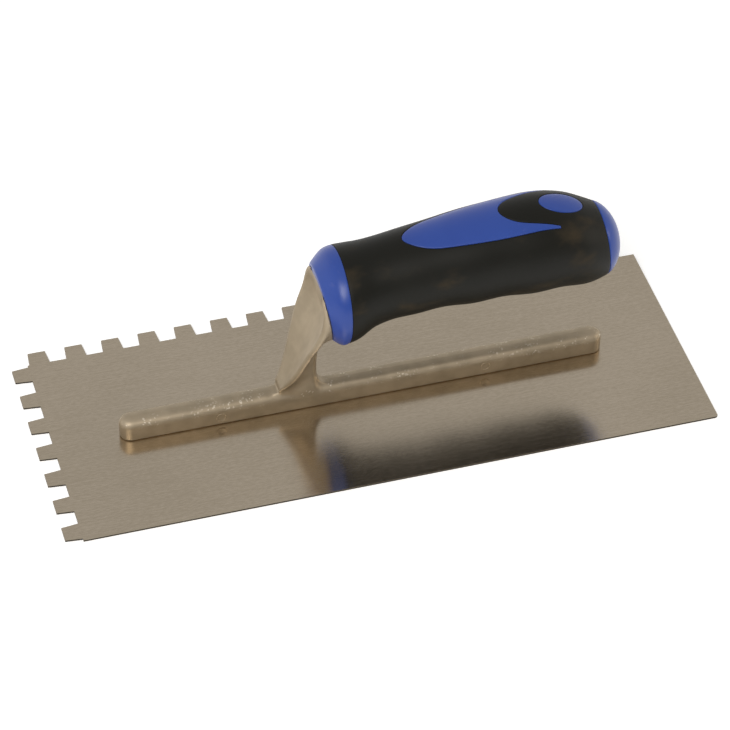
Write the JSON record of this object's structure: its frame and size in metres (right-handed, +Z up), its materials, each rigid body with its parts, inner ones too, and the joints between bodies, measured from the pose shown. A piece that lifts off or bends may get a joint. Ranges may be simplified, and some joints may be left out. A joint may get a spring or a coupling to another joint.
{
  "type": "notched trowel",
  "caption": "Notched trowel: thin steel blade toothed on one long and one short edge, riveted to a cast mounting whose neck carries a soft two-colour grip.",
  "frame": {"origin": "centre of the blade's underside, in the plane that it rests on", "axes": "+X along the blade towards the free end of the grip, +Y towards the toothed long edge, +Z up from the blade to the grip"},
  "size_m": [0.2794, 0.1142, 0.0876],
  "materials": {
    "steel_blade": "sheet stainless steel, brushed along its length",
    "rivet_steel": "rivet heads ground flush with the blade",
    "cast_aluminium": "die-cast, tumbled to a satin skin",
    "blue_plastic": "satin moulded polypropylene",
    "black_rubber": "soft moulded thermoplastic elastomer",
    "zinc_steel": "zinc-plated fastener"
  },
  "bodies": {
    "root": {"blade": "steel_blade", "blade_rivets": "rivet_steel", "mount_casting": "cast_aluminium", "front_collar": "blue_plastic", "grip_core": "blue_plastic", "grip_sleeve": "black_rubber", "end_cap": "blue_plastic", "tang_washer": "zinc_steel", "tang_screw": "zinc_steel"}
  },
  "joints": []
}
